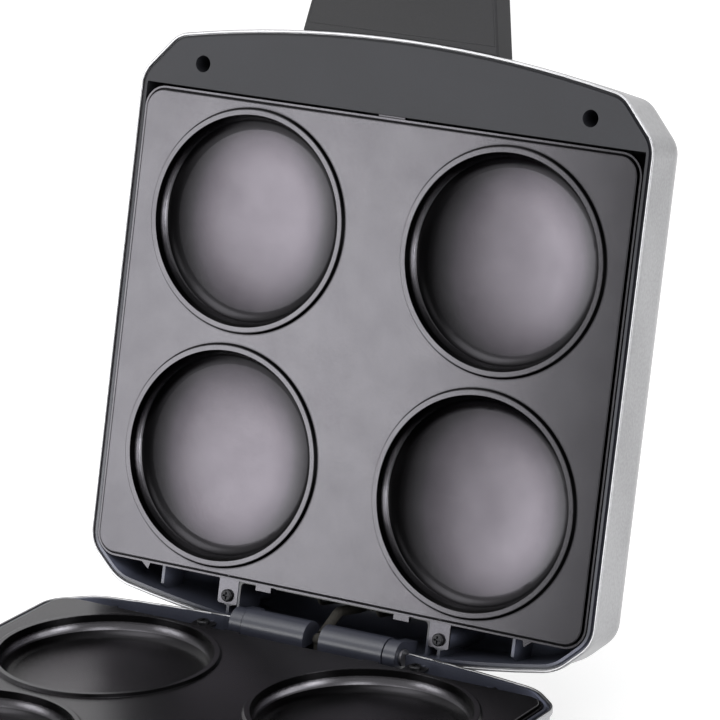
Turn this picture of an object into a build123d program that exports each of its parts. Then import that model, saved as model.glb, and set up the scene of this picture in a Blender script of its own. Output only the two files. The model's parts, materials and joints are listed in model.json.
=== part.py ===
"""Arepa maker: two cast plates with four round cavities each, in a hinged lid and a base.

Everything is drawn with the lid closed, round a deck plane at the parting level, and the lid's
pieces are then swung open about the hinge. +Z is up and the front is at -Y. The origin is on the
table, under the middle of the opened cooker. Sizes are in millimetres.
"""

import os
from math import hypot, radians, tan

from build123d import *

os.makedirs("parts", exist_ok=True)

# Where the cooker stands and how it opens
seam_z = 58.0
plate_y = -26.6
open_angle = 103.0
deck = Plane((0, plate_y, seam_z))
turn_over = Axis((0, plate_y, seam_z), (0, 1, 0))

# Cooking plate, depths measured down from the parting plane
cavity_r = 50.0
cavity_x = 68.5
cavity_y = 55.8
ring_gap = 0.3
ring_w = 2.5
ring_h = 1.5
ring_flank = 0.9
ring_round = 0.5
cavity_wall_h = 4.2
cavity_floor_edge = 9.9
cavity_depth = 12.6
cavity_draft = 0.9
cavity_floor_r = 43.0
cavity_flat_r = 5.3
bowl_wall = 3.0
face_x = 131.0
face_y = 111.4
face_r = 9.0
lip_w = 1.8
lip_drop = 1.4
groove_w = 0.9
groove_d = 0.9
plate_t = 3.2
skirt_in = 4.0
skirt_t = 2.5
skirt_h = 6.0
post_r = 5.0
post_end = 24.0
post_spots = [(0, -60), (0, 0), (0, 60)]
nib_x = 37.6
nib_w = 8.2
nib_out = 2.6
lug_x = 103.8
lug_w = 4.7
lug_out = 3.0
lug_tip_x = 102.4
hook_w = 14.0
hook_t = 2.0
hook_out = 12.0

# Housings: the outline is the inner edge of both rims
rim = 3.5
side_x = 133.3
rear_mid_y = 132.4
rear_x = 118.0
rear_y = 121.4
rear_side_y = 107.6
front_mid_y = 146.0
front_x = 117.0
front_y = 135.0
front_side_y = 117.0
side_round = 12.0
rear_round = 20.0
front_round = 10.0
wall = 2.5
rim_land = 1.3
rim_step = 1.6
fit = 0.1
skin = 0.6
hem_w = 1.4
hem_h = 3.0
hem_round = 0.55
lid_h = 45.0
lid_draft = 4.0
lid_edge = 15.0
base_h = 50.0
base_draft = 5.0
band_gap = 0.5
pan_t = 2.5
pan_wall = 2.0
pan_wall_h = 10.0
pan_edge = 3.0

# Inner details shared by both housings
deck_t = 2.5
deck_edge_y = 114.4
deck_wall_t = 2.0
deck_wall_h = 30.0
hook_slack = 1.0
well_x = 103.5
well_y = 125.9
well_r = 4.0
well_wall = 2.2
well_floor = 33.0
well_floor_t = 2.5
stud_y = 95.0
stud_r = 3.0
stud_gap = 0.5
boss_x = 57.6
boss_y = 121.3
boss_r = 5.0
rib_x = 95.5
rib_t = 1.5
rib_top = 6.5
rib_h = 24.0
rib_front_y = 108.5
rib_knee_y = 122.3

# Plate brackets and small fasteners
bracket_w = 10.6
bracket_t = 1.2
bracket_in_y = 108.8
bracket_end_y = 125.2
bracket_round = 1.0
rivet_y = 110.6
rivet_r = 1.2
rivet_in = 1.2
rivet_head_r = 2.2
rivet_head_h = 1.0
screw_r = 1.6
screw_hole_r = 1.9
screw_l = 9.0
head_r = 3.0
head_h = 1.8
cross_w = 0.9
cross_l = 3.6
cross_d = 1.1

# Hinge
hinge_y = 131.0
hinge_drop = 5.0
block_half = 38.0
block_r = 8.0
block_back = 6.8
block_wall = 2.5
block_solid = 14.0
block_roof = 3.0
wire_slot = 4.2
ear_gap = 0.5
ear_w = 6.5
ear_r = 7.5
ear_front_y = 124.5
ear_back_y = 132.7
ear_root = 8.0
pin_r = 2.5
pin_fit = 0.05
pin_in = 12.0
pin_head_r = 4.0
pin_head_t = 1.2
pin_play = 0.2
notch_slack = 0.6
slot_half = 51.0
slot_y = 114.0
slot_back_y = 130.0
slot_round = 2.0
slot_wall = 1.2
slot_deck = 5.2
slot_deck_t = 1.5
slot_h = 24.0

# Heating elements and heat shields
element_r = 3.3
element_gap = 0.05
element_x = 84.0
element_y = 72.0
element_end_x = 16.0
element_end_y = 102.0
element_bend = 16.0
clip_y = 44.0
clip_l = 10.0
clip_t = 0.8
clip_w = 20.0
shield_x = 122.0
shield_y = 100.0
shield_t = 0.5
shield_edge = 9.0

# Controls and wiring
thermostat_r = 8.0
thermostat_h = 11.0
thermostat_y = 30.0
thermostat_round = 1.5
tab_w = 6.0
tab_t = 0.8
tab_h = 6.0
fuse_r = 2.2
fuse_l = 16.0
fuse_y = -30.0
terminal_x = 44.0
terminal_w = 14.0
terminal_h = 12.5
terminal_y = 111.0
lead_r = 1.0
lead_bend = 4.0
lead_x = 1.2
lead_level = 36.6
bundle_r = 2.4
bundle_bend = 5.0
bundle_drop = 18.0
bundle_y = 119.0
bundle_rise = 16.0
ball_r = 3.0
ball_gap = 0.3
bush_drop = 30.0
bush_r = 6.0
bush_flange = 8.0
bush_t = 2.5
bush_in = 2.0
bush_bore = 3.6

# Handles, latch and lamps
handle_z = 5.0
handle_root = 54.0
handle_root_y = 138.0
handle_tip_half = 44.0
handle_round = 14.0
handle_edge = 3.0
handle_gap = 0.15
lid_handle_h = 16.0
lid_handle_tip = 192.0
base_handle_h = 12.0
base_handle_tip = 186.0
handle_wall = 2.5
handle_back_y = 153.0
handle_screw_x = 28.0
handle_screw_z = 12.5
handle_screw_l = 16.0
handle_boss_r = 4.5
handle_boss_l = 162.0
pad_y = 143.2
cap_t = 2.0
cap_ledge = 1.0
latch_y = -184.0
latch_z = 13.0
latch_half = 15.0
latch_slack = 0.6
latch_slot_y = 175.0
latch_cheek = 3.0
latch_eye_r = 5.0
latch_neck = 3.0
latch_gap = 0.3
latch_plate_t = 3.2
latch_top = 19.0
latch_catch = 2.5
latch_hook_t = 2.7
latch_release = 25.0
latch_pin_r = 1.5
lens_x = 12.0
lens_y = -123.0
lens_r = 4.0
lens_gap = 0.1
lens_proud = 1.0
lens_flange = 5.2
lens_flange_t = 1.5
lamp_r = 2.6
lamp_l = 10.0
holder_x = 60.0
holder_w = 11.0
holder_t = 1.6
holder_z = 28.4
holder_post_x = 26.0
holder_post_r = 3.0
holder_peg_r = 1.5
holder_peg_l = 2.2
foot_x = 104.0
foot_y = 111.0
foot_r = 9.0
foot_peg_r = 3.0
foot_peg_l = 4.0
foot_edge = 1.5
vent_l = 34.0
vent_w = 3.2
vent_pitch_x = 46.0
vent_pitch_y = 11.0

# Places worked out from the sizes above
ring_top = ring_gap / 2
face_top = ring_top + ring_h
lip_top = face_top + lip_drop
plate_under = face_top + plate_t
lip_x = face_x + lip_w
lip_y = face_y + lip_w
skirt_x = face_x - skirt_in
skirt_y = face_y - skirt_in
bowl_under = ring_top + cavity_depth + bowl_wall
element_z = bowl_under + element_gap + element_r
bracket_z = plate_under + bracket_t
hook_top = rim + deck_t + ring_gap
hook_under = hook_top + hook_t
pan_inside = base_h - pan_t
pan_top = base_h - pan_wall_h
stud_end = well_floor + well_floor_t + stud_gap
skin_in = wall + fit
skin_out = skin_in + skin
hem_out = skin_in + hem_w
hem_mid = rim + hem_h / 2
lid_shell_h = lid_h - skin - fit
lid_ceiling = lid_shell_h - wall
ear_in = block_half + ear_gap
ear_out = ear_in + ear_w
pin_end = ear_out + pin_play
notch_half = pin_end + pin_head_t + notch_slack
block_front = hinge_y - block_r
block_rear = hinge_y + block_back
block_slot_z = hinge_drop + block_roof + 1
bush_l = block_wall + bush_in + bush_t
notch_x = block_half + ear_gap / 2
handle_end = handle_z + base_handle_h
lid_handle_end = handle_z + lid_handle_h
cap_end = handle_z + cap_t
lamp_foot = holder_z + holder_t
terminal_top = pan_inside - terminal_h
latch_front = lid_handle_tip + latch_gap
latch_foot = handle_z + base_handle_h + latch_gap
hinge_axis = Axis((0, plate_y + hinge_y, seam_z - hinge_drop), (1, 0, 0))
latch_axis = Axis((0, plate_y + latch_y, seam_z + latch_z), (1, 0, 0))


def side(x):
    """Upright plane across the cooker at x: local x runs to the rear, local y up."""
    return Plane((x, plate_y, seam_z), x_dir=(0, 1, 0), z_dir=(1, 0, 0))


def from_deck(points):
    """Points given from the deck's centre, in the cooker's frame."""
    return [(x, plate_y + y, seam_z + z) for x, y, z in points]


def both_sides(x, *rest):
    """The same spot left and right."""
    return [(-x, *rest), (x, *rest)]


def near(a, b):
    """Whether two coordinates name the same corner."""
    return abs(a - b) < 0.01


def housing_face(grow):
    """Plan of the housings: the rims' inner edge, moved outwards by `grow`."""
    with BuildSketch() as plan:
        with BuildLine():
            rear = ThreePointArc((-rear_x, rear_y), (0, rear_mid_y), (rear_x, rear_y))
            front = ThreePointArc((front_x, -front_y), (0, -front_mid_y), (-front_x, -front_y))
            Polyline(rear @ 1, (side_x, rear_side_y), (side_x, -front_side_y), front @ 0)
            Polyline(front @ 1, (-side_x, -front_side_y), (-side_x, rear_side_y), rear @ 0)
        make_face()
        for corner_x, corner_y, radius in (
            (side_x, rear_side_y, side_round),
            (side_x, -front_side_y, side_round),
            (rear_x, rear_y, rear_round),
            (front_x, -front_y, front_round),
        ):
            corners = [v for v in plan.vertices() if near(abs(v.X), corner_x) and near(v.Y, corner_y)]
            fillet(corners, radius)
        if grow:
            offset(amount=grow)
    return plan.sketch


def loaf(grow, start, end, draft, edge=0.0):
    """Solid of the housings' plan between two depths, drawn in by `draft` below the rim."""
    slope = tan(radians(draft))
    under = Plane(deck.origin, x_dir=(-1, 0, 0), z_dir=(0, 0, -1))
    with BuildPart() as body:
        with BuildSketch(under.offset(start)):
            add(housing_face(grow - (start - rim) * slope))
        with BuildSketch(under.offset(end)):
            add(housing_face(grow - (end - rim) * slope))
        loft()
        if edge:
            fillet(body.faces().sort_by(Axis.Z)[0].edges(), edge)
    return body.part


def hem():
    """Rolled edge of a steel skin, round the rim."""
    with BuildPart() as roll:
        with BuildSketch(deck.offset(-rim)):
            add(housing_face(hem_out))
            add(housing_face(skin_in), mode=Mode.SUBTRACT)
        extrude(amount=-hem_h)
        fillet(roll.faces().sort_by(Axis.Z)[0].edges(), hem_round)
        fillet(roll.faces().sort_by(Axis.Z)[-1].edges(), hem_round)
    return roll.part


def block(x_range, y_range, z_range):
    """Plain block between limits given from the deck's centre."""
    with BuildPart() as solid:
        with BuildSketch(deck.offset(z_range[0])):
            with Locations((sum(x_range) / 2, sum(y_range) / 2)):
                Rectangle(x_range[1] - x_range[0], y_range[1] - y_range[0])
        extrude(amount=z_range[1] - z_range[0])
    return solid.part


def posts(spots, radius, top, bottom):
    """Upright round posts between two depths."""
    with BuildPart() as group:
        with BuildSketch(deck.offset(-top)):
            with Locations(*spots):
                Circle(radius)
        extrude(amount=top - bottom)
    return group.part


def rods(spots, radius, direction, length):
    """Alike round rods from the given spots."""
    with BuildPart() as group:
        for spot in from_deck(spots):
            with BuildSketch(Plane(spot, z_dir=direction)):
                Circle(radius)
            extrude(amount=length)
    return group.part


def screws(heads, direction, length=screw_l):
    """Alike pan head screws with a cross recess, given by their head seats."""
    with BuildPart() as group:
        for spot in from_deck(heads):
            seat = Plane(spot, z_dir=direction)
            with BuildSketch(seat):
                Circle(screw_r)
            extrude(amount=length)
            with BuildSketch(seat.offset(-head_h)):
                Circle(head_r)
            extrude(amount=head_h)
            crown = group.edges().filter_by(GeomType.CIRCLE).filter_by(
                lambda e: near((e.arc_center - seat.offset(-head_h).origin).length, 0)
            )
            fillet(crown, head_h / 2)
            with BuildSketch(seat.offset(-head_h)):
                Rectangle(cross_l, cross_w)
                Rectangle(cross_w, cross_l)
            extrude(amount=cross_d, mode=Mode.SUBTRACT)
    return group.part


def tube(points, radius, bend):
    """Round rod or lead along straight runs with rounded corners."""
    with BuildPart() as rod:
        with BuildLine() as path:
            FilletPolyline(*from_deck(points), radius=bend)
        with BuildSketch(Plane(path.line @ 0, z_dir=path.line % 0)):
            Circle(radius)
        sweep()
    return rod.part


# Spots that several pieces share

cavity_spots = from_deck([(x, y, 0) for x in (-cavity_x, cavity_x) for y in (-cavity_y, cavity_y)])
boss_spots = both_sides(boss_x, boss_y)
rivet_spots = both_sides(boss_x, rivet_y)
front_wells = both_sides(well_x, -well_y)
rear_wells = both_sides(well_x, stud_y)
lid_wells = front_wells + rear_wells
handle_seats = both_sides(handle_screw_x, -pad_y, -handle_screw_z)
handle_bosses = both_sides(handle_screw_x, -handle_back_y, -handle_screw_z)
lens_spots = both_sides(lens_x, lens_y)
holder_spots = both_sides(holder_post_x, lens_y)
foot_spots = both_sides(foot_x, -foot_y) + both_sides(foot_x, foot_y)
bush_spot = (0, block_rear, -bush_drop)

# One cavity of a cooking plate: its bowl and ring, and the hollow cut into them

with BuildPart() as bowl:
    with BuildSketch(Plane.XZ):
        with BuildLine():
            Polyline(
                (0, -ring_top),
                (0, -bowl_under),
                (cavity_floor_r, -bowl_under),
                (cavity_r + bowl_wall / 2, -cavity_floor_edge),
                (cavity_r + ring_w + ring_flank, -plate_under),
                (cavity_r + ring_w + ring_flank, -face_top),
                (cavity_r + ring_w, -ring_top),
                close=True,
            )
        make_face()
    revolve(axis=Axis.Z)
    fillet(bowl.faces().sort_by(Axis.Z)[-1].edges(), ring_round)

with BuildPart() as hollow:
    with BuildSketch(Plane.XZ):
        mouth = (cavity_r, -ring_top)
        wall_foot = (cavity_r - cavity_draft, -ring_top - cavity_wall_h)
        floor_edge = (cavity_floor_r, -ring_top - cavity_floor_edge)
        floor_flat = (cavity_flat_r, -ring_top - cavity_depth)
        with BuildLine():
            Polyline(floor_flat, (0, -ring_top - cavity_depth), (0, 1), (cavity_r, 1), mouth, wall_foot)
            TangentArc(wall_foot, floor_edge, tangent=(-cavity_draft, -cavity_wall_h))
            TangentArc(floor_flat, floor_edge, tangent=(1, 0))
        make_face()
    revolve(axis=Axis.Z)

# Cooking plate, the same casting in the base and, turned over, in the lid

with BuildPart() as plate:
    with BuildSketch(deck.offset(-face_top)):
        RectangleRounded(2 * face_x, 2 * face_y, face_r)
    extrude(amount=-plate_t)
    fillet(plate.faces().sort_by(Axis.Z)[-1].edges(), ring_round)
    with BuildSketch(deck.offset(-lip_top)):
        RectangleRounded(2 * lip_x, 2 * lip_y, face_r + lip_w)
        with Locations(*both_sides(nib_x, lip_y)):
            Rectangle(nib_w, 2 * nib_out)
        for s in (-1, 1):
            with BuildLine():
                Polyline(
                    (s * (lug_x - lug_w / 2), lip_y),
                    (s * lug_tip_x, lip_y + lug_out),
                    (s * (lug_x + lug_w / 2), lip_y),
                    close=True,
                )
            make_face()
    extrude(amount=lip_top - plate_under)
    with BuildSketch(deck.offset(-lip_top)):
        RectangleRounded(2 * (face_x + groove_w), 2 * (face_y + groove_w), face_r + groove_w)
        RectangleRounded(2 * face_x, 2 * face_y, face_r, mode=Mode.SUBTRACT)
    extrude(amount=-groove_d, mode=Mode.SUBTRACT)
    with BuildSketch(deck.offset(-plate_under)):
        RectangleRounded(2 * skirt_x, 2 * skirt_y, face_r - skirt_in)
        RectangleRounded(
            2 * (skirt_x - skirt_t),
            2 * (skirt_y - skirt_t),
            face_r - skirt_in - skirt_t,
            mode=Mode.SUBTRACT,
        )
    extrude(amount=-skirt_h)
    with BuildSketch(deck.offset(-hook_top)):
        with Locations((0, -skirt_y - (hook_out - skirt_t) / 2)):
            Rectangle(hook_w, hook_out + skirt_t)
    extrude(amount=-hook_t)
    add(posts(post_spots, post_r, plate_under, post_end))
    with Locations(*cavity_spots):
        add(bowl.part)
    with Locations(*cavity_spots):
        add(hollow.part, mode=Mode.SUBTRACT)
    add(posts(post_spots, screw_r, post_end - screw_l + shield_t, post_end), mode=Mode.SUBTRACT)
    add(posts(rivet_spots, rivet_r, plate_under - rivet_in, plate_under), mode=Mode.SUBTRACT)

# Hinge-side brackets and their rivets and screws

with BuildPart() as brackets:
    for x in (-boss_x, boss_x):
        with BuildSketch(deck.offset(-plate_under)):
            with Locations((x, (bracket_in_y + bracket_end_y) / 2)):
                RectangleRounded(bracket_w, bracket_end_y - bracket_in_y, bracket_round)
            with Locations((x, boss_y)):
                Circle(screw_r, mode=Mode.SUBTRACT)
            with Locations((x, rivet_y)):
                Circle(rivet_r, mode=Mode.SUBTRACT)
        extrude(amount=-bracket_t)

with BuildPart() as rivets:
    add(posts(rivet_spots, rivet_r, plate_under - rivet_in, bracket_z))
    add(posts(rivet_spots, rivet_head_r, bracket_z, bracket_z + rivet_head_h))

with BuildPart() as plate_screws:
    add(screws([(x, y, -plate_under) for x, y in boss_spots], (0, 0, -1)))

# Heating element under the bowls, its clips, and the heat shield on the plate's posts

with BuildPart() as element:
    add(
        tube(
            [
                (element_end_x, element_end_y, -element_z),
                (element_end_x, element_y, -element_z),
                (element_x, element_y, -element_z),
                (element_x, -element_y, -element_z),
                (-element_x, -element_y, -element_z),
                (-element_x, element_y, -element_z),
                (-element_end_x, element_y, -element_z),
                (-element_end_x, element_end_y, -element_z),
            ],
            element_r,
            element_bend,
        )
    )

with BuildPart() as element_clips:
    clip_bore = element_r + element_gap
    clip_side = element_z - bowl_under
    for x in (-element_x, element_x):
        for y in (-clip_y, clip_y):
            across = Plane((x, plate_y + y - clip_l / 2, seam_z), x_dir=(1, 0, 0), z_dir=(0, 1, 0))
            with BuildSketch(across):
                with Locations((0, bowl_under + clip_t / 2)):
                    Rectangle(clip_w, clip_t)
                with Locations((0, bowl_under + clip_side / 2)):
                    Rectangle(2 * (clip_bore + clip_t), clip_side)
                with Locations((0, element_z)):
                    Circle(clip_bore + clip_t)
                with Locations((0, bowl_under - element_r)):
                    Rectangle(clip_w, 2 * element_r, mode=Mode.SUBTRACT)
                with Locations((0, bowl_under + clip_side / 2)):
                    Rectangle(2 * clip_bore, clip_side, mode=Mode.SUBTRACT)
                with Locations((0, element_z)):
                    Circle(clip_bore, mode=Mode.SUBTRACT)
            extrude(amount=clip_l)

with BuildPart() as shield:
    with BuildSketch(deck.offset(-post_end)):
        RectangleRounded(2 * shield_x, 2 * shield_y, face_r)
        with Locations(*post_spots):
            Circle(screw_r, mode=Mode.SUBTRACT)
    extrude(amount=-shield_t)
    for x in (-shield_x, shield_x - shield_t):
        add(
            block(
                (x, x + shield_t),
                (face_r - shield_y, shield_y - face_r),
                (-post_end - shield_t, -post_end + shield_edge),
            )
        )

with BuildPart() as shield_screws:
    add(screws([(x, y, -post_end - shield_t) for x, y in post_spots], (0, 0, 1)))


# Housings: what the two have in common is drawn for the base


def inner_frame(reach):
    """Front deck, wells, bracket bosses, ribs and screw pads, down to `reach`."""
    with BuildPart() as frame:
        add(block((-side_x, side_x), (-front_mid_y, -deck_edge_y), (-rim - deck_t, -rim)))
        wall_y = (-deck_edge_y - deck_wall_t, -deck_edge_y)
        add(block((-side_x, side_x), wall_y, (-deck_wall_h, -rim)))
        window = hook_w / 2 + hook_slack
        add(block((-window, window), wall_y, (-hook_under, -rim - deck_t)), mode=Mode.SUBTRACT)
        add(posts(front_wells, well_r + well_wall, rim, reach))
        add(posts(boss_spots, boss_r, bracket_z, reach))
        for x in (-boss_x, boss_x):
            add(block((x - rib_t / 2, x + rib_t / 2), (boss_y, rear_mid_y), (-reach, -bracket_z)))
        for x in (-rib_x, rib_x):
            with BuildSketch(side(x - rib_t / 2)):
                with BuildLine():
                    Polyline(
                        (rib_front_y, -rib_top),
                        (rib_knee_y, -rib_top),
                        (rear_mid_y, -rib_h),
                        (rib_front_y, -rib_h),
                        close=True,
                    )
                make_face()
            extrude(amount=rib_t)
        add(rods(handle_seats, handle_boss_r, (0, -1, 0), front_mid_y - pad_y + wall))
    return frame.part


def frame_holes(reach):
    """Screw holes of a housing, cut through to `reach`."""
    with BuildPart() as holes:
        add(posts(front_wells, well_r, rim, well_floor))
        add(posts(front_wells, screw_hole_r, well_floor, stud_end))
        add(posts(front_wells, stud_r + ring_gap, well_floor + well_floor_t, reach))
        add(posts(boss_spots, screw_r, bracket_z, plate_under + screw_l))
        add(rods(handle_seats, screw_hole_r, (0, -1, 0), 2 * handle_screw_l))
    return holes.part


def rim_groove():
    """Step round the plastic rim, beside the steel hem."""
    with BuildPart() as step:
        with BuildSketch(deck.offset(-rim)):
            add(housing_face(skin_in))
            add(housing_face(rim_land), mode=Mode.SUBTRACT)
        extrude(amount=-rim_step)
    return step.part


# Base

with BuildPart() as base_frame:
    add(inner_frame(pan_inside))
    add(loaf(wall / 2, rim, pan_inside, base_draft), mode=Mode.INTERSECT)

with BuildPart() as base_shell:
    add(loaf(wall, rim, pan_inside, base_draft))
    add(loaf(0, rim, pan_inside, base_draft), mode=Mode.SUBTRACT)
    add(base_frame.part)
    add(rim_groove(), mode=Mode.SUBTRACT)
    for x in (-notch_half, notch_x):
        add(
            block(
                (x, x + notch_half - notch_x),
                (hinge_y - block_r - ring_gap, rear_mid_y + 2 * wall),
                (-hinge_drop - block_r - ring_gap, 0),
            ),
            mode=Mode.SUBTRACT,
        )
    with BuildSketch(side(-block_half)):
        with Locations((hinge_y, -hinge_drop)):
            Circle(block_r)
        with Locations(((block_front + block_rear) / 2, -(hinge_drop + pan_inside) / 2)):
            Rectangle(block_rear - block_front, pan_inside - hinge_drop)
        with Locations((block_rear, -hinge_drop)):
            Rectangle(block_r, 3 * block_r, align=(Align.MIN, Align.CENTER), mode=Mode.SUBTRACT)
    extrude(amount=2 * block_half)
    hollow_half = block_half - block_solid
    add(
        block(
            (-hollow_half, hollow_half),
            (block_front - wall, block_rear - block_wall),
            (-pan_inside, -hinge_drop - block_roof),
        ),
        mode=Mode.SUBTRACT,
    )
    add(
        block(
            (-wire_slot, wire_slot),
            (block_front - wall, hinge_y + block_r),
            (-block_slot_z, block_r),
        ),
        mode=Mode.SUBTRACT,
    )
    add(frame_holes(pan_inside), mode=Mode.SUBTRACT)
    add(posts(boss_spots, screw_r, base_h - screw_l, pan_inside), mode=Mode.SUBTRACT)
    for s in (-1, 1):
        bore = rods([(s * notch_x, hinge_y, -hinge_drop)], pin_r, (-s, 0, 0), pin_in + ear_gap / 2)
        add(bore, mode=Mode.SUBTRACT)
    add(rods([bush_spot], bush_r, (0, -1, 0), 2 * block_wall), mode=Mode.SUBTRACT)

with BuildPart() as base_band:
    add(loaf(skin_out, hem_mid, pan_inside - band_gap, base_draft))
    add(loaf(skin_in, hem_mid, pan_inside - band_gap, base_draft), mode=Mode.SUBTRACT)
    add(hem())
    add(
        block((-notch_x, notch_x), (block_front, hinge_y + 2 * block_r), (-base_h, 0)),
        mode=Mode.SUBTRACT,
    )
    add(
        block(
            (-notch_half, notch_half),
            (block_front, hinge_y + 2 * block_r),
            (-hinge_drop - block_r - ring_gap, 0),
        ),
        mode=Mode.SUBTRACT,
    )
    add(rods(handle_seats, screw_hole_r, (0, -1, 0), 2 * handle_screw_l), mode=Mode.SUBTRACT)

with BuildPart() as base_pan:
    add(loaf(skin_out + fit + pan_wall, pan_top, base_h, base_draft, pan_edge))
    foot_half = block_half + fit + pan_wall
    foot_rear = block_rear + fit + pan_wall
    add(block((-foot_half, foot_half), (terminal_y, foot_rear), (-base_h, -pan_top)))
    add(loaf(skin_out + fit, pan_top, pan_inside, base_draft), mode=Mode.SUBTRACT)
    add(
        block(
            (-block_half - fit, block_half + fit),
            (terminal_y, block_rear + fit),
            (-pan_inside, -pan_top),
        ),
        mode=Mode.SUBTRACT,
    )
    add(posts(front_wells, stud_r, stud_end, pan_inside))
    add(posts(front_wells, screw_r, stud_end, well_floor + screw_l), mode=Mode.SUBTRACT)
    add(posts(boss_spots, screw_r, pan_inside, base_h), mode=Mode.SUBTRACT)
    with BuildSketch(deck.offset(-base_h)):
        with Locations(*foot_spots):
            Circle(foot_peg_r)
        with GridLocations(vent_pitch_x, vent_pitch_y, 3, 5):
            SlotOverall(vent_l, vent_w)
    extrude(amount=pan_t, mode=Mode.SUBTRACT)

with BuildPart() as rubber_feet:
    with BuildSketch(deck.offset(-base_h)):
        with Locations(*foot_spots):
            Circle(foot_r)
    extrude(amount=base_h - seam_z)
    fillet(rubber_feet.faces().group_by(Axis.Z)[0].edges(), foot_edge)
    with BuildSketch(deck.offset(-base_h)):
        with Locations(*foot_spots):
            Circle(foot_peg_r)
    extrude(amount=foot_peg_l)

with BuildPart() as base_screws:
    add(screws([(x, y, -well_floor) for x, y in front_wells], (0, 0, -1)))
    add(screws([(x, y, -base_h) for x, y in boss_spots], (0, 0, 1)))

with BuildPart() as hinge_pins:
    for s in (-1, 1):
        spot = (s * (block_half - pin_in), hinge_y, -hinge_drop)
        add(rods([spot], pin_r, (s, 0, 0), pin_end - block_half + pin_in))
        add(rods([(s * pin_end, hinge_y, -hinge_drop)], pin_head_r, (s, 0, 0), pin_head_t))

with BuildPart() as cord_bush:
    add(rods([bush_spot], bush_r, (0, -1, 0), bush_l - bush_t))
    add(rods([bush_spot], bush_flange, (0, 1, 0), bush_t))
    fillet(cord_bush.faces().sort_by(Axis.Y)[-1].edges(), bush_t / 2)
    bush_face = (0, block_rear + bush_t, -bush_drop)
    add(rods([bush_face], bush_bore, (0, -1, 0), bush_l), mode=Mode.SUBTRACT)

with BuildPart() as thermostat:
    add(posts([(0, thermostat_y)], thermostat_r, plate_under, plate_under + thermostat_h))
    fillet(thermostat.faces().sort_by(Axis.Z)[0].edges(), thermostat_round)
    for x in (-thermostat_r / 2, thermostat_r / 2):
        tab_z = -plate_under - thermostat_h
        add(
            block(
                (x - tab_t / 2, x + tab_t / 2),
                (thermostat_y - tab_w / 2, thermostat_y + tab_w / 2),
                (tab_z - tab_h, tab_z + tab_t),
            )
        )

with BuildPart() as thermal_fuse:
    add(rods([(-fuse_l / 2, fuse_y, -plate_under - fuse_r)], fuse_r, (1, 0, 0), fuse_l))
    fillet(thermal_fuse.edges().filter_by(GeomType.CIRCLE), fuse_r / 4)

with BuildPart() as terminal_block:
    add(
        block(
            (-terminal_x / 2, terminal_x / 2),
            (terminal_y - terminal_w / 2, terminal_y + terminal_w / 2),
            (-pan_inside, -terminal_top),
        )
    )
    fillet(terminal_block.edges().filter_by(Axis.Z), ring_flank)

with BuildPart() as base_wiring:
    add(
        tube(
            [
                (0, hinge_y, -hinge_drop),
                (0, hinge_y, -bundle_drop),
                (0, terminal_y, -bundle_drop),
                (0, terminal_y, -terminal_top),
            ],
            bundle_r,
            bundle_bend,
        )
    )
    with Locations(*from_deck([(0, hinge_y, -hinge_drop)])):
        Sphere(ball_r)
    for s in (-1, 1):
        end_x = s * element_end_x
        add(
            tube(
                [
                    (end_x, element_end_y, -element_z),
                    (end_x, terminal_y, -element_z),
                    (end_x, terminal_y, -terminal_top),
                ],
                lead_r,
                lead_bend,
            )
        )


def grip(tip, height):
    """Handle's outline solid, not yet cut to the housing."""
    with BuildPart() as body:
        with BuildSketch(deck.offset(-handle_z)):
            add(grip_face(tip, 0))
        extrude(amount=-height)
        fillet(body.faces().sort_by(Axis.Z)[0].edges(), handle_edge)
        fillet(body.faces().sort_by(Axis.Z)[-1].edges(), ring_flank)
    return body.part


def grip_face(tip, inset):
    """Handle's plan, tapering to its tip, drawn in by `inset`."""
    with BuildSketch() as plan:
        with BuildLine():
            Polyline(
                (-handle_root, -handle_root_y),
                (-handle_tip_half, -tip),
                (handle_tip_half, -tip),
                (handle_root, -handle_root_y),
                close=True,
            )
        make_face()
        fillet(plan.vertices().filter_by(lambda v: near(v.Y, -tip)), handle_round)
        if inset:
            offset(amount=-inset)
    return plan.sketch


def grip_space(tip, inset, top, bottom):
    """Room inside a handle, clear of its rear wall."""
    with BuildPart() as room:
        with BuildSketch(deck.offset(-top)):
            add(grip_face(tip, inset))
            with Locations((0, -handle_back_y + handle_wall - inset)):
                Rectangle(
                    4 * handle_root,
                    4 * handle_root,
                    align=(Align.CENTER, Align.MIN),
                    mode=Mode.SUBTRACT,
                )
        extrude(amount=top - bottom)
    return room.part


def housing_cut(depth, draft):
    """Outside of a housing with the handles' clearance, for cutting what's screwed to it."""
    with BuildPart() as cut:
        with BuildSketch(deck.offset(-rim)):
            add(housing_face(hem_out + handle_gap))
        extrude(amount=-hem_h - handle_gap)
        add(loaf(skin_out + handle_gap, rim, depth, draft))
    return cut.part


boss_l = handle_boss_l - handle_back_y

with BuildPart() as base_handle:
    add(grip(base_handle_tip, base_handle_h))
    add(
        grip_space(base_handle_tip, handle_wall, handle_z + handle_wall, handle_end),
        mode=Mode.SUBTRACT,
    )
    add(rods(handle_bosses, handle_boss_r, (0, -1, 0), boss_l))
    add(housing_cut(base_h, base_draft), mode=Mode.SUBTRACT)
    add(rods(handle_seats, screw_r, (0, -1, 0), handle_screw_l), mode=Mode.SUBTRACT)

with BuildPart() as handle_screws:
    add(screws(handle_seats, (0, -1, 0), handle_screw_l))

# Lid: drawn upside down like the base, and turned over at the end

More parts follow.
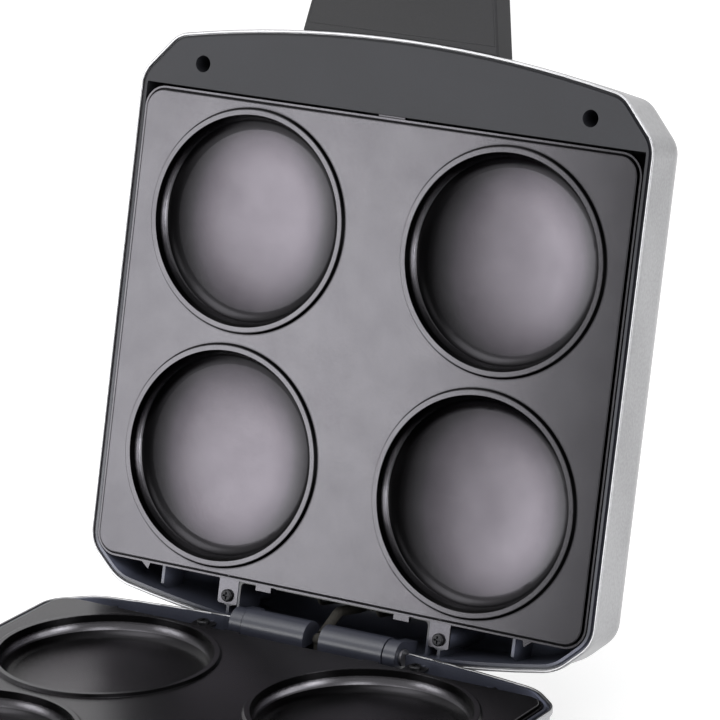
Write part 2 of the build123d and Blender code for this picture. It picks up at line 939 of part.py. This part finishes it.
with BuildPart() as lid_frame:
    add(inner_frame(lid_shell_h))
    add(posts(rear_wells, well_r + well_wall, well_floor, lid_shell_h))
    add(posts(holder_spots, holder_post_r, lamp_foot, lid_shell_h))
    slot_out = slot_half + slot_wall
    slot_face_y = slot_y - slot_wall
    add(
        block(
            (-slot_out, slot_out),
            (slot_face_y, rear_mid_y),
            (-slot_deck - slot_deck_t, -slot_deck),
        )
    )
    for x in (-slot_out, slot_half):
        add(block((x, x + slot_wall), (slot_face_y, rear_mid_y), (-slot_h, -slot_deck)))
    with BuildSketch(deck.offset(-slot_deck)):
        with Locations((0, (slot_y + slot_back_y) / 2)):
            RectangleRounded(2 * slot_half, slot_back_y - slot_y, slot_round)
    extrude(amount=-slot_deck_t, mode=Mode.SUBTRACT)
    add(
        loaf(wall / 2, rim, lid_shell_h - wall / 2, lid_draft, lid_edge - wall / 2),
        mode=Mode.INTERSECT,
    )

with BuildPart() as lid_shell:
    add(loaf(wall, rim, lid_shell_h, lid_draft, lid_edge))
    add(loaf(0, rim, lid_ceiling, lid_draft, lid_edge - wall), mode=Mode.SUBTRACT)
    add(lid_frame.part)
    add(rim_groove(), mode=Mode.SUBTRACT)
    add(posts(holder_spots, holder_peg_r, lamp_foot - holder_peg_l, lid_ceiling))
    for x in (-ear_out, ear_in):
        with BuildSketch(side(x)):
            with Locations((hinge_y, hinge_drop)):
                Circle(ear_r)
            with Locations(((ear_front_y + ear_back_y) / 2, (hinge_drop - ear_root) / 2)):
                Rectangle(ear_back_y - ear_front_y, hinge_drop + ear_root)
            with Locations((hinge_y, hinge_drop)):
                Circle(pin_r + pin_fit, mode=Mode.SUBTRACT)
        extrude(amount=ear_w)
    add(frame_holes(lid_h), mode=Mode.SUBTRACT)
    add(posts(rear_wells, screw_hole_r, well_floor, stud_end), mode=Mode.SUBTRACT)
    add(
        posts(rear_wells, stud_r + ring_gap, well_floor + well_floor_t, lid_h),
        mode=Mode.SUBTRACT,
    )
    add(posts(lens_spots, lens_r + lens_gap, lid_ceiling - wall, lid_h), mode=Mode.SUBTRACT)

with BuildPart() as weld_studs:
    add(posts(lid_wells, stud_r, stud_end, lid_h))
    add(
        loaf(skin_out - skin / 2, rim, lid_h - skin / 2, lid_draft, lid_edge + fit + skin / 2),
        mode=Mode.INTERSECT,
    )

with BuildPart() as lid_cover:
    add(loaf(skin_out, hem_mid, lid_h, lid_draft, lid_edge + fit + skin))
    add(loaf(skin_in, hem_mid, lid_h - skin, lid_draft, lid_edge + fit), mode=Mode.SUBTRACT)
    add(hem())
    add(weld_studs.part)
    add(posts(lid_wells, screw_r, stud_end, well_floor + screw_l), mode=Mode.SUBTRACT)
    add(posts(lens_spots, lens_r + lens_gap, lid_ceiling, lid_h), mode=Mode.SUBTRACT)
    add(rods(handle_seats, screw_hole_r, (0, -1, 0), 2 * handle_screw_l), mode=Mode.SUBTRACT)

with BuildPart() as lid_screws:
    add(screws([(x, y, -well_floor) for x, y in lid_wells], (0, 0, -1)))

with BuildPart() as lid_wiring:
    bundle_run = hypot(hinge_y - bundle_y, bundle_rise)
    start = (ball_r + ball_gap) / bundle_run
    add(
        tube(
            [
                (0, hinge_y - start * (hinge_y - bundle_y), hinge_drop - start * bundle_rise),
                (0, bundle_y, hinge_drop - bundle_rise),
                (0, bundle_y, -lamp_foot),
            ],
            bundle_r,
            bundle_bend,
        )
    )
    for s in (-1, 1):
        add(
            tube(
                [
                    (s * lead_x, bundle_y, -lamp_foot + lead_r),
                    (s * lead_x, bundle_y, -lead_level),
                    (s * element_end_x, bundle_y, -lead_level),
                    (s * element_end_x, bundle_y, -element_z),
                    (s * element_end_x, element_end_y, -element_z),
                ],
                lead_r,
                lead_bend,
            )
        )
    lead_y = bundle_y + lead_r
    lamp_lead_y = lens_y + 2 * lead_r
    ceiling_run = 2 * lead_r - lid_ceiling
    add(
        tube(
            [
                (0, lead_y, -lamp_foot + lead_r),
                (0, lead_y, ceiling_run),
                (0, lamp_lead_y, ceiling_run),
                (0, lamp_lead_y, -lamp_foot),
            ],
            lead_r,
            lead_bend,
        )
    )

with BuildPart() as lid_handle:
    add(grip(lid_handle_tip, lid_handle_h))
    add(
        grip_space(lid_handle_tip, handle_wall, handle_z, lid_handle_end - handle_wall),
        mode=Mode.SUBTRACT,
    )
    add(rods(handle_bosses, handle_boss_r, (0, -1, 0), boss_l))
    cheek_half = latch_half + latch_slack + latch_cheek
    add(
        block(
            (-cheek_half, cheek_half),
            (-lid_handle_tip, -latch_slot_y + latch_cheek),
            (-lid_handle_end, -handle_z),
        )
        & grip(lid_handle_tip, lid_handle_h)
    )
    add(
        block(
            (-latch_half - latch_slack, latch_half + latch_slack),
            (-lid_handle_tip, -latch_slot_y),
            (-lid_handle_end, -handle_z),
        ),
        mode=Mode.SUBTRACT,
    )
    cap_inset = handle_wall - cap_ledge
    cap_hole = grip_space(lid_handle_tip, cap_inset, handle_z, cap_end) - block(
        (-cheek_half, cheek_half),
        (-lid_handle_tip, -latch_slot_y + latch_cheek),
        (-cap_end, -handle_z),
    )
    add(cap_hole, mode=Mode.SUBTRACT)
    add(housing_cut(lid_h, lid_draft), mode=Mode.SUBTRACT)
    add(rods(handle_seats, screw_r, (0, -1, 0), handle_screw_l), mode=Mode.SUBTRACT)
    add(
        rods([(-cheek_half, latch_y, -latch_z)], latch_pin_r, (1, 0, 0), 2 * cheek_half),
        mode=Mode.SUBTRACT,
    )

with BuildPart() as lid_handle_cap:
    add(grip_space(lid_handle_tip, cap_inset + fit, handle_z, cap_end))
    add(
        block(
            (-cheek_half - fit, cheek_half + fit),
            (-lid_handle_tip, -latch_slot_y + latch_cheek + fit),
            (-cap_end, -handle_z),
        ),
        mode=Mode.SUBTRACT,
    )

with BuildPart() as latch_pin:
    add(rods([(-cheek_half, latch_y, -latch_z)], latch_pin_r, (1, 0, 0), 2 * cheek_half))

with BuildPart() as latch:
    with BuildSketch(side(-latch_half)):
        with Locations((latch_y, -latch_z)):
            Circle(latch_eye_r)
        with Locations(((latch_y - latch_front) / 2, -latch_z)):
            Rectangle(latch_front + latch_y, 2 * latch_neck)
        with Locations((-latch_front - latch_plate_t / 2, (latch_foot + latch_hook_t - latch_top) / 2)):
            Rectangle(latch_plate_t, latch_foot + latch_hook_t + latch_top)
        with BuildLine():
            Polyline(
                (-latch_front, latch_foot),
                (-base_handle_tip + latch_catch, latch_foot),
                (-base_handle_tip + latch_catch, latch_foot + latch_hook_t / 2),
                (-latch_front, latch_foot + latch_hook_t),
                close=True,
            )
        make_face()
        with Locations((latch_y, -latch_z)):
            Circle(latch_pin_r + pin_fit, mode=Mode.SUBTRACT)
    extrude(amount=2 * latch_half)

with BuildPart() as lamp_lens:
    add(posts([(lens_x, lens_y)], lens_r, lid_ceiling, lid_h + lens_proud))
    fillet(lamp_lens.faces().sort_by(Axis.Z)[0].edges(), lens_proud / 2)
    add(posts([(lens_x, lens_y)], lens_flange, lid_ceiling - lens_flange_t, lid_ceiling))

with BuildPart() as indicator_lamps:
    add(posts(lens_spots, lamp_r, lamp_foot, lamp_foot + lamp_l))
    fillet(indicator_lamps.faces().group_by(Axis.Z)[0].edges(), lamp_r / 2)

with BuildPart() as lamp_holder:
    add(
        block(
            (-holder_x / 2, holder_x / 2),
            (lens_y - holder_w / 2, lens_y + holder_w / 2),
            (-lamp_foot, -holder_z),
        )
    )
    add(posts(holder_spots, holder_peg_r, holder_z, lamp_foot), mode=Mode.SUBTRACT)


def swung(piece):
    """A lid piece turned over into the lid and swung open."""
    return piece.rotate(turn_over, 180).rotate(hinge_axis, -open_angle)


def released(piece):
    """The latch turned over onto the lid, let go and swung open with it."""
    return piece.rotate(turn_over, 180).rotate(latch_axis, -latch_release).rotate(hinge_axis, -open_angle)


pieces = {
    "base_shell": base_shell.part,
    "base_band": base_band.part,
    "base_pan": base_pan.part,
    "rubber_feet": rubber_feet.part,
    "base_screws": base_screws.part,
    "hinge_pins": hinge_pins.part,
    "cord_bush": cord_bush.part,
    "thermostat": thermostat.part,
    "thermal_fuse": thermal_fuse.part,
    "terminal_block": terminal_block.part,
    "base_wiring": base_wiring.part,
    "base_handle": base_handle.part,
    "base_handle_screws": handle_screws.part,
    "lid_shell": swung(lid_shell.part),
    "lid_cover": swung(lid_cover.part),
    "lid_screws": swung(lid_screws.part),
    "lid_wiring": swung(lid_wiring.part),
    "lid_handle": swung(lid_handle.part),
    "lid_handle_cap": swung(lid_handle_cap.part),
    "lid_handle_screws": swung(handle_screws.part),
    "latch_pin": swung(latch_pin.part),
    "power_lens": swung(lamp_lens.part),
    "ready_lens": swung(lamp_lens.part.mirror(Plane.YZ)),
    "indicator_lamps": swung(indicator_lamps.part),
    "lamp_holder": swung(lamp_holder.part),
    "latch": released(latch.part),
}
shared = {
    "plate": plate.part,
    "brackets": brackets.part,
    "rivets": rivets.part,
    "plate_screws": plate_screws.part,
    "element": element.part,
    "element_clips": element_clips.part,
    "heat_shield": shield.part,
    "shield_screws": shield_screws.part,
}
for name, piece in shared.items():
    pieces["lower_" + name] = piece
    pieces["upper_" + name] = swung(piece)

for name, piece in pieces.items():
    piece.label = name
    export_step(piece, f"parts/{name}.step")
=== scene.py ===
"""Looks of the arepa maker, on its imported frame."""

import json
import math

import bpy
from mathutils import Matrix, Vector

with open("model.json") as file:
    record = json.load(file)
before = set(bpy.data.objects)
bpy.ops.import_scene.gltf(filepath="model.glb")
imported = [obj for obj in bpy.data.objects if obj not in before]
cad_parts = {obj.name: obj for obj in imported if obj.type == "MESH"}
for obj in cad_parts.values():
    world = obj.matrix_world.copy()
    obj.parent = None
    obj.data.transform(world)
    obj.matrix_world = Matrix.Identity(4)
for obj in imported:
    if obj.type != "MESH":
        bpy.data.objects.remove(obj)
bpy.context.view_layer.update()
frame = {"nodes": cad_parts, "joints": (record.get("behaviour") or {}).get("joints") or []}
scene = bpy.context.scene
scene.view_settings.view_transform = "Standard"

# The open upper plate: the lid's angle at rest, and the plate's middle from the hinge with the lid closed
OPEN = math.radians(103.0)
PLATE_MID = Vector((0.0, -0.131, 0.00515))
hinge = Vector(frame["joints"][0]["pos_m"])
swing = Matrix.Rotation(-OPEN, 3, "X")
plate_mid = hinge + swing @ PLATE_MID

# Camera: direction, focal length and place from the open plate's middle, as the photograph was taken
AZIMUTH, ELEVATION = math.radians(30.92265), math.radians(17.13030)
FOCAL_PX, WIDTH_PX = 4432.485, 720.0
SENSOR = 36.0
DISTANCE, TO_RIGHT, UPWARDS = 2.051634, 0.0014826, 0.0003623
to_camera = Vector(
    (
        math.sin(AZIMUTH) * math.cos(ELEVATION),
        -math.cos(AZIMUTH) * math.cos(ELEVATION),
        math.sin(ELEVATION),
    )
)
right = Vector((math.cos(AZIMUTH), math.sin(AZIMUTH), 0.0))
up = to_camera.cross(right)
camera = bpy.data.objects.new("camera", bpy.data.cameras.new("camera"))
scene.collection.objects.link(camera)
scene.camera = camera
camera.data.sensor_width = SENSOR
camera.data.lens = SENSOR * FOCAL_PX / WIDTH_PX
camera.data.clip_end = 20.0
turn = Matrix((right, up, to_camera)).transposed().to_4x4()
eye = plate_mid + DISTANCE * to_camera + TO_RIGHT * right + UPWARDS * up
camera.matrix_world = Matrix.Translation(eye) @ turn


# Materials: tones are sRGB 0-255 and scales are per metre
MM = 1000.0
GRAIN_DETAIL, PATCH_DETAIL = 4.0, 3.0
PATCH_RATIO = 40.0
TONE_FROM, TONE_TO = 0.35, 0.65
RELIEF = 0.0001


def linear(colour):
    """sRGB 0-255 to linear, with full alpha."""
    out = []
    for c in colour:
        c = c / 255.0
        out.append(c / 12.92 if c <= 0.04045 else ((c + 0.055) / 1.055) ** 2.4)
    return (*out, 1.0)


def noise(tree, vector, scale, detail):
    """Noise texture on the given coordinates."""
    made = tree.nodes.new("ShaderNodeTexNoise")
    made.inputs["Scale"].default_value = scale
    made.inputs["Detail"].default_value = detail
    tree.links.new(vector, made.inputs["Vector"])
    return made.outputs["Fac"]


def maths(tree, operation, first, second=0.0):
    """One step of arithmetic on sockets or numbers."""
    made = tree.nodes.new("ShaderNodeMath")
    made.operation = operation
    for socket, value in zip(made.inputs, (first, second)):
        if isinstance(value, (int, float)):
            socket.default_value = value
        else:
            tree.links.new(value, socket)
    return made.outputs[0]


def ranged(tree, value, low, high, to_low=0.0, to_high=1.0):
    """A value mapped from one range to another, and held at its ends."""
    made = tree.nodes.new("ShaderNodeMapRange")
    names = ("From Min", "From Max", "To Min", "To Max")
    for name, number in zip(names, (low, high, to_low, to_high)):
        made.inputs[name].default_value = number
    tree.links.new(value, made.inputs["Value"])
    return made.outputs["Result"]


def material(
    name,
    dark,
    light,
    scale,
    rough,
    bump,
    metallic=0.0,
    coat=0.0,
    specular=0.5,
    stretch=(1.0, 1.0, 1.0),
    cloud=0.5,
    rough_span=0.08,
):
    """Grained surface: two tones mixed by noise, with roughness and bump from the same grain."""
    made = bpy.data.materials.new(name)
    made.use_nodes = True
    tree = made.node_tree
    shader = tree.nodes["Principled BSDF"]
    shader.inputs["Metallic"].default_value = metallic
    shader.inputs["Coat Weight"].default_value = coat
    shader.inputs["Specular IOR Level"].default_value = specular
    place = tree.nodes.new("ShaderNodeTexCoord")
    mapping = tree.nodes.new("ShaderNodeMapping")
    mapping.inputs["Scale"].default_value = stretch
    tree.links.new(place.outputs["Object"], mapping.inputs["Vector"])
    grain = noise(tree, mapping.outputs["Vector"], scale, GRAIN_DETAIL)
    patches = noise(tree, mapping.outputs["Vector"], scale / PATCH_RATIO, PATCH_DETAIL)
    fine = maths(tree, "MULTIPLY", grain, 1.0 - cloud)
    coarse = maths(tree, "MULTIPLY", patches, cloud)
    blend = maths(tree, "ADD", fine, coarse)
    ramp = tree.nodes.new("ShaderNodeValToRGB")
    tones = zip(ramp.color_ramp.elements, (TONE_FROM, TONE_TO), (dark, light))
    for element, position, tone in tones:
        element.position, element.color = position, linear(tone)
    tree.links.new(blend, ramp.inputs["Fac"])
    tree.links.new(ramp.outputs["Color"], shader.inputs["Base Color"])
    roughness = ranged(tree, blend, 0.0, 1.0, rough - rough_span, rough + rough_span)
    tree.links.new(roughness, shader.inputs["Roughness"])
    relief = tree.nodes.new("ShaderNodeBump")
    relief.inputs["Strength"].default_value = bump
    relief.inputs["Distance"].default_value = RELIEF
    tree.links.new(grain, relief.inputs["Height"])
    tree.links.new(relief.outputs["Normal"], shader.inputs["Normal"])
    return made


# Non-stick coating, in mm on the plate: a cavity's centre, the raised face and its corner radius
CAVITY = (68.5, 55.8)
FACE = (131.0, 111.4)
FACE_ROUND = 9.0
# Where a cavity's bowl ends and its ring begins, how the painted shade in the bowl is squashed and shifted,
# and how far from the cavity's middle line the painted highlight on the far wall reaches
BOWL_R, RING_R = 47.8, 50.0
BOWL_SQUASH, BOWL_SHIFT = 0.83, 1.6
WALL_REACH = 32.0
# How much of the painted shade at the ring's foot shows above and below a cavity, and how much more to its
# right
FOOT_SHARE, FOOT_LEAN = 0.65, 0.8
# Tints by distance in mm: painted shade over a cavity's bowl and round its mouth, a painted highlight along
# its far wall, painted shade at its ring's foot and across the face, a painted shadow over the groove
# between face and lip, and painted shade on the hook beyond the front lip
BOWL_PAINTED_SHADE = (
    (0.0, (0.99, 0.94, 0.98)),
    (22.0, (0.99, 0.94, 0.98)),
    (26.0, (0.92, 0.87, 0.91)),
    (33.0, (0.69, 0.66, 0.69)),
    (37.3, 0.43),
    (42.0, 0.21),
    (44.5, 0.08),
    (47.0, 0.04),
)
MOUTH_PAINTED_SHADE = ((47.0, 1.0), (49.2, 1.0), (49.3, 0.06), (49.9, 0.06), (50.1, 1.0), (51.0, 1.0))
FAR_WALL_PAINTED_HIGHLIGHT = ((48.1, 1.0), (48.4, 7.0), (48.9, 7.0), (49.2, 1.0))
RING_FOOT_PAINTED_SHADE = ((51.8, 1.0), (52.5, 0.04), (53.2, 0.04), (53.5, 0.4), (54.2, 1.0))
ACROSS_PAINTED_SHADE = ((-131.0, 0.83), (0.0, 1.0), (45.0, 1.0), (68.0, 0.82), (100.0, 0.6), (131.0, 0.42))
GROOVE_PAINTED_SHADE = ((8.0, 1.0), (8.9, 1.0), (9.1, 0.06), (9.8, 0.06), (10.0, 1.0))
BEYOND_LIP_PAINTED_SHADE = ((-114.1, 0.05), (-113.9, 1.0))
# Housing, in mm from the plate's middle: its painted shade from front to rear, its roughness at both, and on
# its wall at the hinge side painted light beside the hinge slot and painted shade within the slot's width
FRONT_TO_REAR_PAINTED_SHADE = ((-100.0, (0.35, 0.34, 0.33)), (100.0, 1.0))
FRONT_ROUGH, REAR_ROUGH = 0.62, 0.32
SLOT_HALF = 52.0
BESIDE_SLOT_PAINTED_LIGHT = ((106.0, 1.0), (112.0, 3.0), (119.0, 3.0), (123.0, 1.2))
IN_SLOT_PAINTED_SHADE = ((103.0, 1.0), (107.0, 0.3), (119.0, 0.3), (122.0, 1.0))


def plate_place(tree, turned):
    """X and Y in mm from the plate's middle with the lid closed, for what is turned open by `turned`."""
    back = Matrix.Rotation(turned, 3, "X")
    middle = Vector((0.0, hinge.y + PLATE_MID.y, 0.0))
    place = tree.nodes.new("ShaderNodeTexCoord")
    mapping = tree.nodes.new("ShaderNodeMapping")
    mapping.inputs["Rotation"].default_value = (turned, 0.0, 0.0)
    mapping.inputs["Location"].default_value = hinge - back @ hinge - middle
    split = tree.nodes.new("ShaderNodeSeparateXYZ")
    tree.links.new(place.outputs["Object"], mapping.inputs["Vector"])
    tree.links.new(mapping.outputs["Vector"], split.inputs["Vector"])
    return [maths(tree, "MULTIPLY", split.outputs[axis], MM) for axis in ("X", "Y")]


def tinted(made, distance, stops, share=1.0):
    """Multiply a material's base colour by tints given with their distances in mm."""
    tree = made.node_tree
    colour = tree.nodes["Principled BSDF"].inputs["Base Color"]
    low, high = stops[0][0], stops[-1][0]
    ramp = tree.nodes.new("ShaderNodeValToRGB")
    elements = ramp.color_ramp.elements
    while len(elements) < len(stops):
        elements.new(1.0)
    for element, (at, tint) in zip(elements, stops):
        element.position = (at - low) / (high - low)
        element.color = (*tint, 1.0) if isinstance(tint, tuple) else (tint, tint, tint, 1.0)
    tree.links.new(ranged(tree, distance, low, high), ramp.inputs["Fac"])
    mix = tree.nodes.new("ShaderNodeMix")
    mix.data_type = "RGBA"
    mix.blend_type = "MULTIPLY"
    mix.inputs[0].default_value = 1.0
    if share != 1.0:
        tree.links.new(share, mix.inputs[0])
    tree.links.new(colour.links[0].from_socket, mix.inputs[6])
    tree.links.new(ramp.outputs["Color"], mix.inputs[7])
    tree.links.new(mix.outputs[2], colour)


def coating(name, turned):
    """Coated casting: satin metal, with painted shade over the cavities' bowls, round their mouths, at the
    rings' feet, across the face and in the grooves, and a painted highlight along each far wall.
    """
    satin = {"scale": 2200.0, "rough": 0.25, "bump": 0.4, "cloud": 0.45, "rough_span": 0.04}
    made = material(name, (67, 66, 69), (77, 76, 79), metallic=1.0, **satin)
    tree = made.node_tree

    def do(operation, first, second=0.0):
        return maths(tree, operation, first, second)

    def length(first, second):
        return do("SQRT", do("ADD", do("MULTIPLY", first, first), do("MULTIPLY", second, second)))

    x, y = plate_place(tree, turned)
    wide, deep = do("ABSOLUTE", x), do("ABSOLUTE", y)
    out, along = do("SUBTRACT", wide, CAVITY[0]), do("SUBTRACT", deep, CAVITY[1])
    radius = length(out, along)
    side = do("SIGN", x)
    shift = do("ADD", do("MULTIPLY", side, BOWL_SHIFT), BOWL_SHIFT)
    bowl = length(do("SUBTRACT", out, shift), do("MULTIPLY", along, BOWL_SQUASH))
    # painted shade: each bowl darker towards its wall, off its centre
    tinted(made, bowl, BOWL_PAINTED_SHADE, do("LESS_THAN", radius, BOWL_R))
    # painted shade: dark band round each cavity's mouth
    tinted(made, radius, MOUTH_PAINTED_SHADE)
    # painted highlight: bright crescent along each cavity's far wall
    level = do("SUBTRACT", 1.0, do("DIVIDE", do("ABSOLUTE", along), WALL_REACH))
    tinted(made, radius, FAR_WALL_PAINTED_HIGHLIGHT, do("MAXIMUM", level, 0.0))
    # painted shade: dark line at each ring's outer foot, stronger to its right
    lean = do("DIVIDE", do("MULTIPLY", side, out), radius)
    foot = do("ADD", do("MULTIPLY", lean, FOOT_LEAN), FOOT_SHARE)
    tinted(made, radius, RING_FOOT_PAINTED_SHADE, do("MINIMUM", do("MAXIMUM", foot, 0.0), 1.0))
    # painted shade: the face a little darker at its left and much darker towards its right
    tinted(made, x, ACROSS_PAINTED_SHADE, do("GREATER_THAN", radius, RING_R))
    # painted shadow: dark groove between the face and its lip
    beyond = [do("SUBTRACT", reach, half - FACE_ROUND) for reach, half in zip((wide, deep), FACE)]
    tinted(made, length(*[do("MAXIMUM", d, 0.0) for d in beyond]), GROOVE_PAINTED_SHADE)
    # painted shade: dark hook beyond the front lip
    tinted(made, y, BEYOND_LIP_PAINTED_SHADE)
    return made


def housing(name, turned):
    """Moulded housing: textured matt towards the front panel and smoother at the hinge side, with painted
    shade that darkens and warms it towards the front panel, painted shade in the hinge slot and painted
    light on the wall beside it.
    """
    made = material(name, (44, 46, 55), (54, 56, 66), 1200.0, 0.5, 0.12, specular=0.5)
    tree = made.node_tree
    x, y = plate_place(tree, turned)
    wide = maths(tree, "ABSOLUTE", x)
    # painted shade: darker and warmer towards the front panel
    tinted(made, y, FRONT_TO_REAR_PAINTED_SHADE)
    # painted light: the hinge-side wall lighter beside the slot
    tinted(made, y, BESIDE_SLOT_PAINTED_LIGHT, maths(tree, "GREATER_THAN", wide, SLOT_HALF))
    # painted shade: the hinge slot darkened
    tinted(made, y, IN_SLOT_PAINTED_SHADE, maths(tree, "LESS_THAN", wide, SLOT_HALF))
    rough = ranged(tree, y, FRONT_TO_REAR_PAINTED_SHADE[0][0], FRONT_TO_REAR_PAINTED_SHADE[-1][0], FRONT_ROUGH, REAR_ROUGH)
    tree.links.new(rough, tree.nodes["Principled BSDF"].inputs["Roughness"])
    return made


LOOKS = {
    "upper_coat": coating("upper_coating", OPEN),
    "lower_coat": coating("lower_coating", 0.0),
    "upper_housing": housing("upper_housing", OPEN),
    "lower_housing": housing("lower_housing", 0.0),
    "bracket": material("bracket", (72, 71, 75), (85, 84, 88), 900.0, 0.3, 0.12, metallic=0.95),
    "handle": material("handle_plastic", (24, 24, 26), (32, 32, 35), 900.0, 0.5, 0.3, specular=0.3),
    "steel": material(
        "brushed_steel",
        (142, 142, 144),
        (168, 168, 170),
        700.0,
        0.32,
        0.12,
        metallic=1.0,
        stretch=(0.02, 1.0, 1.0),
    ),
    "pan": material("pan_plastic", (26, 27, 30), (34, 35, 39), 900.0, 0.55, 0.35, specular=0.3),
    "rubber": material("foot_rubber", (22, 22, 23), (32, 32, 33), 500.0, 0.85, 0.3, specular=0.2),
    "plated": material("plated_steel", (120, 119, 124), (142, 141, 146), 600.0, 0.38, 0.1, metallic=0.95),
    "black_screw": material("black_screw", (34, 34, 36), (48, 48, 50), 800.0, 0.4, 0.15, metallic=0.8),
    "element": material("element_sheath", (70, 64, 58), (98, 90, 82), 300.0, 0.55, 0.2, metallic=0.8),
    "sheet": material("shield_sheet", (160, 160, 162), (184, 184, 186), 400.0, 0.35, 0.08, metallic=1.0),
    "phenolic": material("phenolic", (46, 30, 22), (60, 40, 30), 500.0, 0.5, 0.2),
    "fuse": material("fuse_sleeve", (206, 204, 194), (226, 224, 214), 900.0, 0.8, 0.5),
    "sleeve": material("lead_sleeve", (40, 38, 36), (58, 56, 52), 900.0, 0.8, 0.6, specular=0.2),
    "red": material("red_lens", (150, 16, 12), (176, 24, 18), 120.0, 0.15, 0.05, coat=0.5),
    "green": material("green_lens", (18, 110, 40), (28, 132, 52), 120.0, 0.15, 0.05, coat=0.5),
    "neon": material("neon_glass", (226, 170, 130), (240, 196, 160), 200.0, 0.1, 0.02, coat=0.6),
}
WEARS = {
    "upper_plate": "upper_coat",
    "lower_plate": "lower_coat",
    "upper_brackets": "bracket",
    "lower_brackets": "bracket",
    "lid_shell": "upper_housing",
    "base_shell": "lower_housing",
    "lid_cover": "steel",
    "base_band": "steel",
    "base_pan": "pan",
    "rubber_feet": "rubber",
    "cord_bush": "rubber",
    "base_handle": "handle",
    "lid_handle": "handle",
    "lid_handle_cap": "handle",
    "latch": "handle",
    "upper_plate_screws": "black_screw",
    "lower_plate_screws": "black_screw",
    "lid_screws": "black_screw",
    "base_screws": "black_screw",
    "upper_element": "element",
    "lower_element": "element",
    "upper_heat_shield": "sheet",
    "lower_heat_shield": "sheet",
    "thermostat": "phenolic",
    "terminal_block": "phenolic",
    "lamp_holder": "phenolic",
    "thermal_fuse": "fuse",
    "base_wiring": "sleeve",
    "lid_wiring": "sleeve",
    "power_lens": "red",
    "ready_lens": "green",
    "indicator_lamps": "neon",
}
for name, node in frame["nodes"].items():
    look = LOOKS[WEARS.get(name, "plated")]
    node.data.materials.clear()
    node.data.materials.append(look)

# Floor and background: both are white to the camera and in reflections
FLOOR_HALF = 6.0
FLOOR_GREY = (0.8, 0.8, 0.8, 1.0)
FLOOR_GLOW = 0.45
WORLD_LIGHT, WORLD_SEEN = 0.5, 1.0
WHITE = (1.0, 1.0, 1.0, 1.0)


def seen(tree, unseen_value, seen_value):
    """One value for camera, glossy and transmission rays, another for the rest."""
    path = tree.nodes.new("ShaderNodeLightPath")
    either = maths(tree, "MAXIMUM", path.outputs["Is Camera Ray"], path.outputs["Is Glossy Ray"])
    any_seen = maths(tree, "MAXIMUM", either, path.outputs["Is Transmission Ray"])
    return maths(tree, "ADD", maths(tree, "MULTIPLY", any_seen, seen_value - unseen_value), unseen_value)


floor_mesh = bpy.data.meshes.new("floor")
corners = [(x * FLOOR_HALF, y * FLOOR_HALF, 0.0) for x, y in ((-1, -1), (1, -1), (1, 1), (-1, 1))]
floor_mesh.from_pydata(corners, [], [(0, 1, 2, 3)])
floor = bpy.data.objects.new("floor", floor_mesh)
scene.collection.objects.link(floor)
floor_look = bpy.data.materials.new("floor")
floor_look.use_nodes = True
floor_shader = floor_look.node_tree.nodes["Principled BSDF"]
floor_shader.inputs["Base Color"].default_value = FLOOR_GREY
floor_shader.inputs["Roughness"].default_value = 0.9
floor_shader.inputs["Emission Color"].default_value = WHITE
glow = seen(floor_look.node_tree, 0.0, FLOOR_GLOW)
floor_look.node_tree.links.new(glow, floor_shader.inputs["Emission Strength"])
floor_mesh.materials.append(floor_look)

world = bpy.data.worlds.new("world")
scene.world = world
world.use_nodes = True
background = world.node_tree.nodes["Background"]
background.inputs["Color"].default_value = WHITE
strength = seen(world.node_tree, WORLD_LIGHT, WORLD_SEEN)
world.node_tree.links.new(strength, background.inputs["Strength"])


def lamp(name, place, aim, size, power):
    """Soft lamp at a place, aimed at a point: metres and watts."""
    light = bpy.data.lights.new(name, "AREA")
    light.shape = "RECTANGLE"
    light.size, light.size_y = size
    light.energy = power
    made = bpy.data.objects.new(name, light)
    scene.collection.objects.link(made)
    made.location = place
    made.rotation_euler = (Vector(aim) - Vector(place)).to_track_quat("-Z", "Y").to_euler()


# The key is where the open plate mirrors it to the camera, a little to the left and lower
KEY_AWAY, KEY_ASIDE, KEY_DOWN = 2.0, 0.34, 0.1
plate_normal = swing @ Vector((0.0, 0.0, -1.0))
mirror = 2.0 * to_camera.dot(plate_normal) * plate_normal - to_camera
aside = Vector((-mirror.y, mirror.x, 0.0)).normalized()
key_place = plate_mid + KEY_AWAY * mirror - KEY_ASIDE * aside - Vector((0.0, 0.0, KEY_DOWN))
lamp("key", key_place, plate_mid, (1.0, 0.95), 18.8)
lamp("side", (1.85, -0.35, 0.4), (0.0, 0.1, 0.15), (0.7, 0.8), 9.0)
lamp("top", (-0.5, -0.8, 2.0), (0.0, 0.05, 0.1), (1.4, 1.4), 20.0)
lamp("front", (1.1, -1.4, 1.9), (0.0, 0.05, 0.1), (1.0, 1.0), 15.0)
lamp("back", (0.8, 1.8, 1.8), (0.0, 0.1, 0.15), (1.4, 1.4), 8.0)
